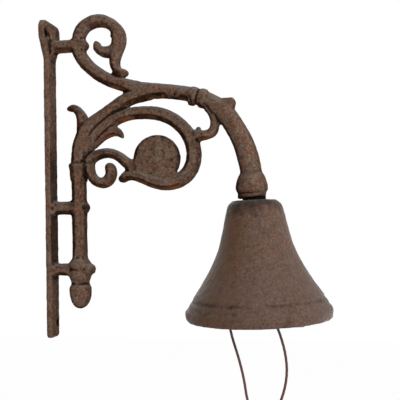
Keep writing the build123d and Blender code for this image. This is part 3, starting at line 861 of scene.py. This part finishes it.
# Bell: its section's points are the radius and the drop below the crown, in millimetres
BELL_OUTLINE = [
    (15.5, 0), (19, 3.4), (20.9, 9.1), (22.3, 15.5), (24.3, 24.4), (27.1, 34), (30.8, 42.5), (34.5, 49.7),
    (40, 58.9), (45.4, 66.7), (47.4, 70.2), (49.4, 73.6), (51.6, 77), (52, 80.4),
]
CROWN_TOP = [(3.25, 0), (9, 0), (13.5, 0), (15.5, 0)]
CROWN_UNDERSIDE = [(15.4, 8.6), (12, 5.2), (10, 5)]
BOLT_HOLE_FOOT = (3.25, 5)
BELL_LIP = [(52, 80.4), (51.75, 82.2), (51.2, 83.6), (50, 84.4)]
BELL_RIM = [(50, 84.4), (48.4, 84.5), (47.1, 84.2), (46.6, 82.6), (46.6, 80.4)]
BELL_WALL = 4.3
LINING_TOP, LINING_FOOT = 12, 72
RINGS_FOOT = 81
RINGS_DEPTH = 1.5
OUTLINE_STEPS = 400
CORNER_STEPS = 24
BELL_STEPS_AROUND = 380
BELL_STEPS_ALONG = 236

# Rings round the bell's outside: drop, half width and height, in millimetres
UPPER_GROOVE = (70.3, 1.3, -0.42)
LOWER_GROOVE = (74.6, 1.2, -0.12)
BEAD = (72.4, 1.3, 0.35)
LIP_SWELL = (78.0, 2.2, 0.3)

# Drop and half width of the painted shadow in its two grooves
UPPER_GROOVE_SHADE = (70.2 * MM, 1.2 * MM)
LOWER_GROOVE_SHADE = (75.0 * MM, 1.5 * MM)


def bell_profile(count):
    """Radius and drop round the bell's section: over the crown, down the flare, round the lip, up the lining.

    The lining is the outline set inwards by the wall, square to the outline's own slope."""
    outer = through(BELL_OUTLINE, OUTLINE_STEPS)
    slope = np.gradient(outer, axis=0)
    slope /= np.linalg.norm(slope, axis=1)[:, None]
    inwards = np.stack([-np.abs(slope[:, 1]), slope[:, 0]], axis=1)
    lined = (outer[:, 1] > LINING_TOP) & (outer[:, 1] < LINING_FOOT)
    lining = (outer + BELL_WALL * inwards)[lined]
    underside = through([lining[0], *CROWN_UNDERSIDE], CORNER_STEPS)
    section = np.vstack([
        through(CROWN_TOP, CORNER_STEPS), outer[1:], through(BELL_LIP, CORNER_STEPS)[1:],
        through(BELL_RIM, CORNER_STEPS)[1:], lining[::-1], underside[1:], BOLT_HOLE_FOOT, CROWN_TOP[0],
    ])
    return even_steps(section, count + 1)[:-1]


def ring_relief(level, ring):
    """One ring round the bell: a hump in the drop, with its own width and height."""
    drop, width, height = ring
    return height * hump(level - drop, width)


def bead_shadow(inner):
    """Painted shadow in the bead's two grooves: humps in the drop along the bell's axis, thick and thin by
    noise.
    """
    drop = inner @ np.array([np.sin(LEAN), 0, -np.cos(LEAN)])
    left = smooth_step(-inner[:, 0], -12 * MM, 30 * MM)
    upper = 0.27 + 0.2 * left + 0.1 * lattice_noise(inner, 22 * MM, 36)
    lower = 0.04 + 0.22 * left + 0.06 * lattice_noise(inner, 18 * MM, 37)
    blots = 0.05 * smooth_step(lattice_noise(inner, 3 * MM, 38), 0.1, 0.9)
    soot_and_shade = blots * smooth_step(drop, 66 * MM, 74 * MM)
    for share, (level, width) in ((upper, UPPER_GROOVE_SHADE), (lower, LOWER_GROOVE_SHADE)):
        soot_and_shade += np.maximum(share, 0) * hump(drop - level, width)
    return soot_and_shade


def bell_surface():
    """The bell's section turned about its leaning axis, with the bead's and the lip's rings added outside."""
    radius, drop = bell_profile(BELL_STEPS_ALONG).T
    outline_radius, outline_drop = np.transpose(BELL_OUTLINE)
    outside = (drop < RINGS_FOOT) & (radius > np.interp(drop, outline_drop, outline_radius) - RINGS_DEPTH)
    turn = np.linspace(0, 2 * np.pi, BELL_STEPS_AROUND, endpoint=False)
    wander = 0.35 * np.sin(turn + 0.6) + 0.2 * np.sin(3 * turn + 2)
    level = drop[:, None] + 0.6 * wander[None, :]
    fade = 0.75 + 0.25 * np.sin(2 * turn + 1.1)
    rings = fade * ring_relief(level, UPPER_GROOVE)
    rings += ring_relief(level, LOWER_GROOVE) + ring_relief(level, BEAD) + ring_relief(level, LIP_SWELL)
    out = radius[:, None] + rings * outside[:, None]
    height = -drop[:, None] * np.ones(BELL_STEPS_AROUND)
    local = np.stack([out * np.cos(turn), out * np.sin(turn), height], axis=-1) * MM
    tilt = np.array([[np.cos(LEAN), 0, -np.sin(LEAN)], [0, 1, 0], [np.sin(LEAN), 0, np.cos(LEAN)]])
    return local @ tilt.T + np.array([BELL_REACH, 0, CROWN])


def make_bell():
    """The bell's surface with the sand mould's relief and lumps near its lip, pushed out along the normal.

    Painted shade lies under the socket and in the bead's grooves. The edge attribute paints a warm shade on
    the side that faces the wall."""
    mesh = grid_mesh("bell_skin", bell_surface()[:, ::-1], True, True)
    placed = read_vertices(mesh)
    inner = placed - np.array([BELL_REACH, 0, CROWN])
    lumps = 0.35 * MM * smooth_step(lattice_noise(placed, 4.5 * MM, 77), 0.45, 0.9)
    near_lip = smooth_step(-inner[:, 2], 66 * MM, 78 * MM)
    amount = sand_relief(placed, BELL_SEED) + lumps * near_lip
    # Painted shade under the socket, darkest just below it
    fall = -inner[:, 2] + 1.3 * MM * lattice_noise(placed, 4 * MM, 35) + 0.1 * inner[:, 0]
    under_socket = 0.62 * (1 - smooth_step(fall, 0, 17 * MM))
    under_socket = np.maximum(under_socket, 0.75 * (1 - smooth_step(fall, 2 * MM, 7 * MM)))
    depth = under_socket + bead_shadow(inner) + relief_tone(amount, 0.35)
    # Painted warm shade on the side that faces the wall
    warm = smooth_step(-read_normals(mesh)[:, 0], -0.25, 0.75)
    push(mesh, amount)
    store(mesh, "hollow_and_shade", depth)
    store(mesh, "edge", 0.7 * warm)
    return add_piece("bell_skin", mesh, BELL_IRON)


# Clapper
def make_clapper():
    """The clapper's skin with the relief of its own casting."""
    piece = cast_skin("clapper", 0.45 * MM, 2, "clapper_skin")
    mesh = piece.data
    amount = 0.6 * sand_relief(read_vertices(mesh), CLAPPER_SEED)
    depth = hollow_depth(mesh, 8) + relief_tone(amount, 0.35)
    push(mesh, amount)
    store(mesh, "hollow_and_shade", depth)
    give_material(mesh, CLAPPER_IRON)
    return piece


# Lace: its route's points are x and the height above the seat, in millimetres
LACE_ROUTE = [
    (161.5, -170), (154.6, -157.6), (149.4, -143.6), (147.6, -128.6), (143.9, -113), (139.3, -98.4),
    (137.2, -86.8), (143.6, -79.2), (152.6, -78.6), (162.4, -81.2), (170.3, -87), (174.4, -97.4),
    (177.6, -110.4), (178.4, -123.6), (175.7, -137.4), (170, -150.6), (164.4, -161.4), (163.9, -170),
]
LACE_RADIUS = 0.95 * MM
LACE_PITCH = 4.2 * MM
LACE_SIDES = 18
LACE_STEPS = 620
KNOT_CENTRE = np.array([162.7 * MM, 0, -172 * MM + SEAT])
KNOT_SCALE = np.array([0.78, 1.15, 0.95]) * MM
KNOT_STEPS = 220


def lace_points():
    """Points along a smooth NURBS spline whose control points are the lace's route."""
    curve = bpy.data.curves.new("lace_route", "CURVE")
    curve.dimensions = "3D"
    curve.resolution_u = 24
    spline = curve.splines.new("NURBS")
    spline.points.add(len(LACE_ROUTE) - 1)
    for point, (x, z) in zip(spline.points, LACE_ROUTE):
        point.co = (x * MM, 0, z * MM + SEAT, 1)
    spline.order_u = 3
    spline.use_endpoint_u = True
    holder = bpy.data.objects.new("lace_route", curve)
    bpy.context.collection.objects.link(holder)
    bpy.context.view_layer.update()
    graph = bpy.context.evaluated_depsgraph_get()
    line = bpy.data.meshes.new_from_object(holder.evaluated_get(graph))
    points = read_vertices(line)
    bpy.data.objects.remove(holder)
    return points


def carried_sides(heading):
    """One direction square to each heading, turned as little as possible from one to the next."""
    side = np.cross(heading[0], [0.0, 1.0, 0.0])
    sides = []
    for way in heading:
        side = side - way * side.dot(way)
        side = side / np.linalg.norm(side)
        sides.append(side)
    return np.array(sides)


def carry_round(line, name):
    """The lace's round carried along a path: rings stand square to it, and their radius is the plait's."""
    heading = np.gradient(line, axis=0)
    heading /= np.linalg.norm(heading, axis=1)[:, None]
    sides = carried_sides(heading)
    ups = np.cross(heading, sides)
    turn = np.linspace(0, 2 * np.pi, LACE_SIDES, endpoint=False)
    reach, mark = plaited(running_length(line)[:, None], turn[None, :])
    ring = np.cos(turn)[None, :, None] * sides[:, None, :] + np.sin(turn)[None, :, None] * ups[:, None, :]
    mesh = grid_mesh(name, line[:, None, :] + ring * reach[:, :, None], False, True)
    store(mesh, "plait", mark)
    close_ends(mesh, len(line))
    return add_piece(name, mesh, BROWN_LACE)


def close_ends(mesh, rings):
    """Caps both open ends of the lace with a face each and turns all faces outwards."""
    edit = bmesh.new()
    edit.from_mesh(mesh)
    edit.verts.ensure_lookup_table()
    edit.faces.new([edit.verts[corner] for corner in reversed(range(LACE_SIDES))])
    edit.faces.new([edit.verts[(rings - 1) * LACE_SIDES + corner] for corner in range(LACE_SIDES)])
    bmesh.ops.recalc_face_normals(edit, faces=edit.faces)
    edit.to_mesh(mesh)
    edit.free()


def plaited(length, turn):
    """Radius of a plaited lace and its strands' height: two sets wind opposite ways, and the higher shows."""
    pitch = 2 * np.pi * length / LACE_PITCH
    one = np.cos(3 * (turn - pitch / 3))
    other = np.cos(3 * (turn + pitch / 3))
    mark = 0.5 + 0.5 * np.maximum(one, other)
    return LACE_RADIUS * (0.95 + 0.07 * mark), mark


def make_lace():
    """The lace's skin, and the line that it follows."""
    points = lace_points()
    return carry_round(even_steps(points, LACE_STEPS), "lace"), points


def make_knot():
    """An overhand knot pulled tight: the lace carried round a closed trefoil curve, longer than wide."""
    turn = np.linspace(0, 2 * np.pi, KNOT_STEPS, endpoint=False)
    across = np.sin(turn) + 2 * np.sin(2 * turn)
    upright = np.cos(turn) - 2 * np.cos(2 * turn)
    curve = np.stack([across, np.sin(3 * turn), upright], axis=1) * KNOT_SCALE
    return carry_round(np.vstack([curve, curve[:1]]) + KNOT_CENTRE, "lace_knot")


# Stage
FLOOR_LEVEL = -1.3
FLOOR_REACH = 6
FLOOR_GLOW = 1.12
FLOOR_GLOW_SHARE = 0.85
SURROUND_LIGHT = 0.24
LAMP_AIM = Vector((0.1, 0, -0.12))
LAMP_SIZE = 0.6
LAMPS = [
    ("key lamp", (0.75, -1.1, 0.5), 10),
    ("side lamp", (1.2, -0.3, 0.1), 5.2),
    ("low lamp", (0.1, -0.7, -0.9), 2.6),
    ("top lamp", (0.35, -0.1, 1.1), 3.4),
    ("back lamp", (-0.1, 1.1, 0.4), 8),
]


def seen_rays(tree):
    """1 for rays from the camera and from glossy surfaces, which show the white background, else 0."""
    rays = tree.nodes.new("ShaderNodeLightPath")
    return reckon(tree, "MAXIMUM", rays.outputs["Is Camera Ray"], rays.outputs["Is Glossy Ray"])


def make_floor():
    """A flat pale floor well below the bell, which shows as near white and still takes a shadow."""
    span = np.linspace(-FLOOR_REACH, FLOOR_REACH, 3)
    x, y = np.meshgrid(span, span, indexing="ij")
    mesh = grid_mesh("floor", np.stack([x, y, np.full_like(x, FLOOR_LEVEL)], axis=-1), False, False)
    material = bpy.data.materials.new("pale floor")
    material.use_nodes = True
    tree = material.node_tree
    shader = tree.nodes["Principled BSDF"]
    shader.inputs["Base Color"].default_value = (0.8, 0.8, 0.8, 1)
    shader.inputs["Roughness"].default_value = 0.9
    glow = tree.nodes.new("ShaderNodeEmission")
    glow.inputs["Strength"].default_value = FLOOR_GLOW
    mix = tree.nodes.new("ShaderNodeMixShader")
    feed(tree, times(tree, seen_rays(tree), FLOOR_GLOW_SHARE), mix.inputs["Fac"])
    feed(tree, shader.outputs["BSDF"], mix.inputs[1])
    feed(tree, glow.outputs["Emission"], mix.inputs[2])
    feed(tree, mix.outputs["Shader"], tree.nodes["Material Output"].inputs["Surface"])
    return add_piece("floor", mesh, material)


def make_surround():
    """A world that is white to look at and lights the object with a quarter of that."""
    world = bpy.data.worlds.new("surround")
    world.use_nodes = True
    bpy.context.scene.world = world
    tree = world.node_tree
    ground = tree.nodes["Background"]
    ground.inputs["Color"].default_value = (1, 1, 1, 1)
    strength = plus(tree, times(tree, seen_rays(tree), 1 - SURROUND_LIGHT), SURROUND_LIGHT)
    feed(tree, strength, ground.inputs["Strength"])


def soft_lamp(name, place, power):
    """A square area lamp that faces the middle of the bell and bracket."""
    lamp = bpy.data.lights.new(name, "AREA")
    lamp.shape = "SQUARE"
    lamp.size = LAMP_SIZE
    lamp.energy = power
    holder = bpy.data.objects.new(name, lamp)
    holder.location = place
    holder.rotation_euler = (LAMP_AIM - Vector(place)).to_track_quat("-Z", "Y").to_euler()
    bpy.context.collection.objects.link(holder)


# The scene
bpy.context.scene.view_settings.view_transform = "Standard"
photo_camera()
floor = make_floor()
make_surround()
for name, place, power in LAMPS:
    soft_lamp(name, place, power)

bracket = make_bracket()
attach(bracket, "bracket")
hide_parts("wall_bracket")

bell = make_bell()
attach(bell, "bracket")
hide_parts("bell")

clapper = make_clapper()
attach(clapper, "clapper")
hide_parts("clapper")

lace, lace_line = make_lace()
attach(lace, "clapper")
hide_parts("pull_cord")

knot = make_knot()
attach(knot, "clapper")
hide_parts("cord_knot")

for node, material in (
    ("rubber_washer", BLACK_RUBBER_AND_SHADE), ("eye_bolt", PLATED_STEEL), ("inner_washer", PLATED_STEEL),
    ("bell_nut", PLATED_STEEL), ("clapper_link", DARK_STEEL),
):
    give_material(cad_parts[node].data, material)
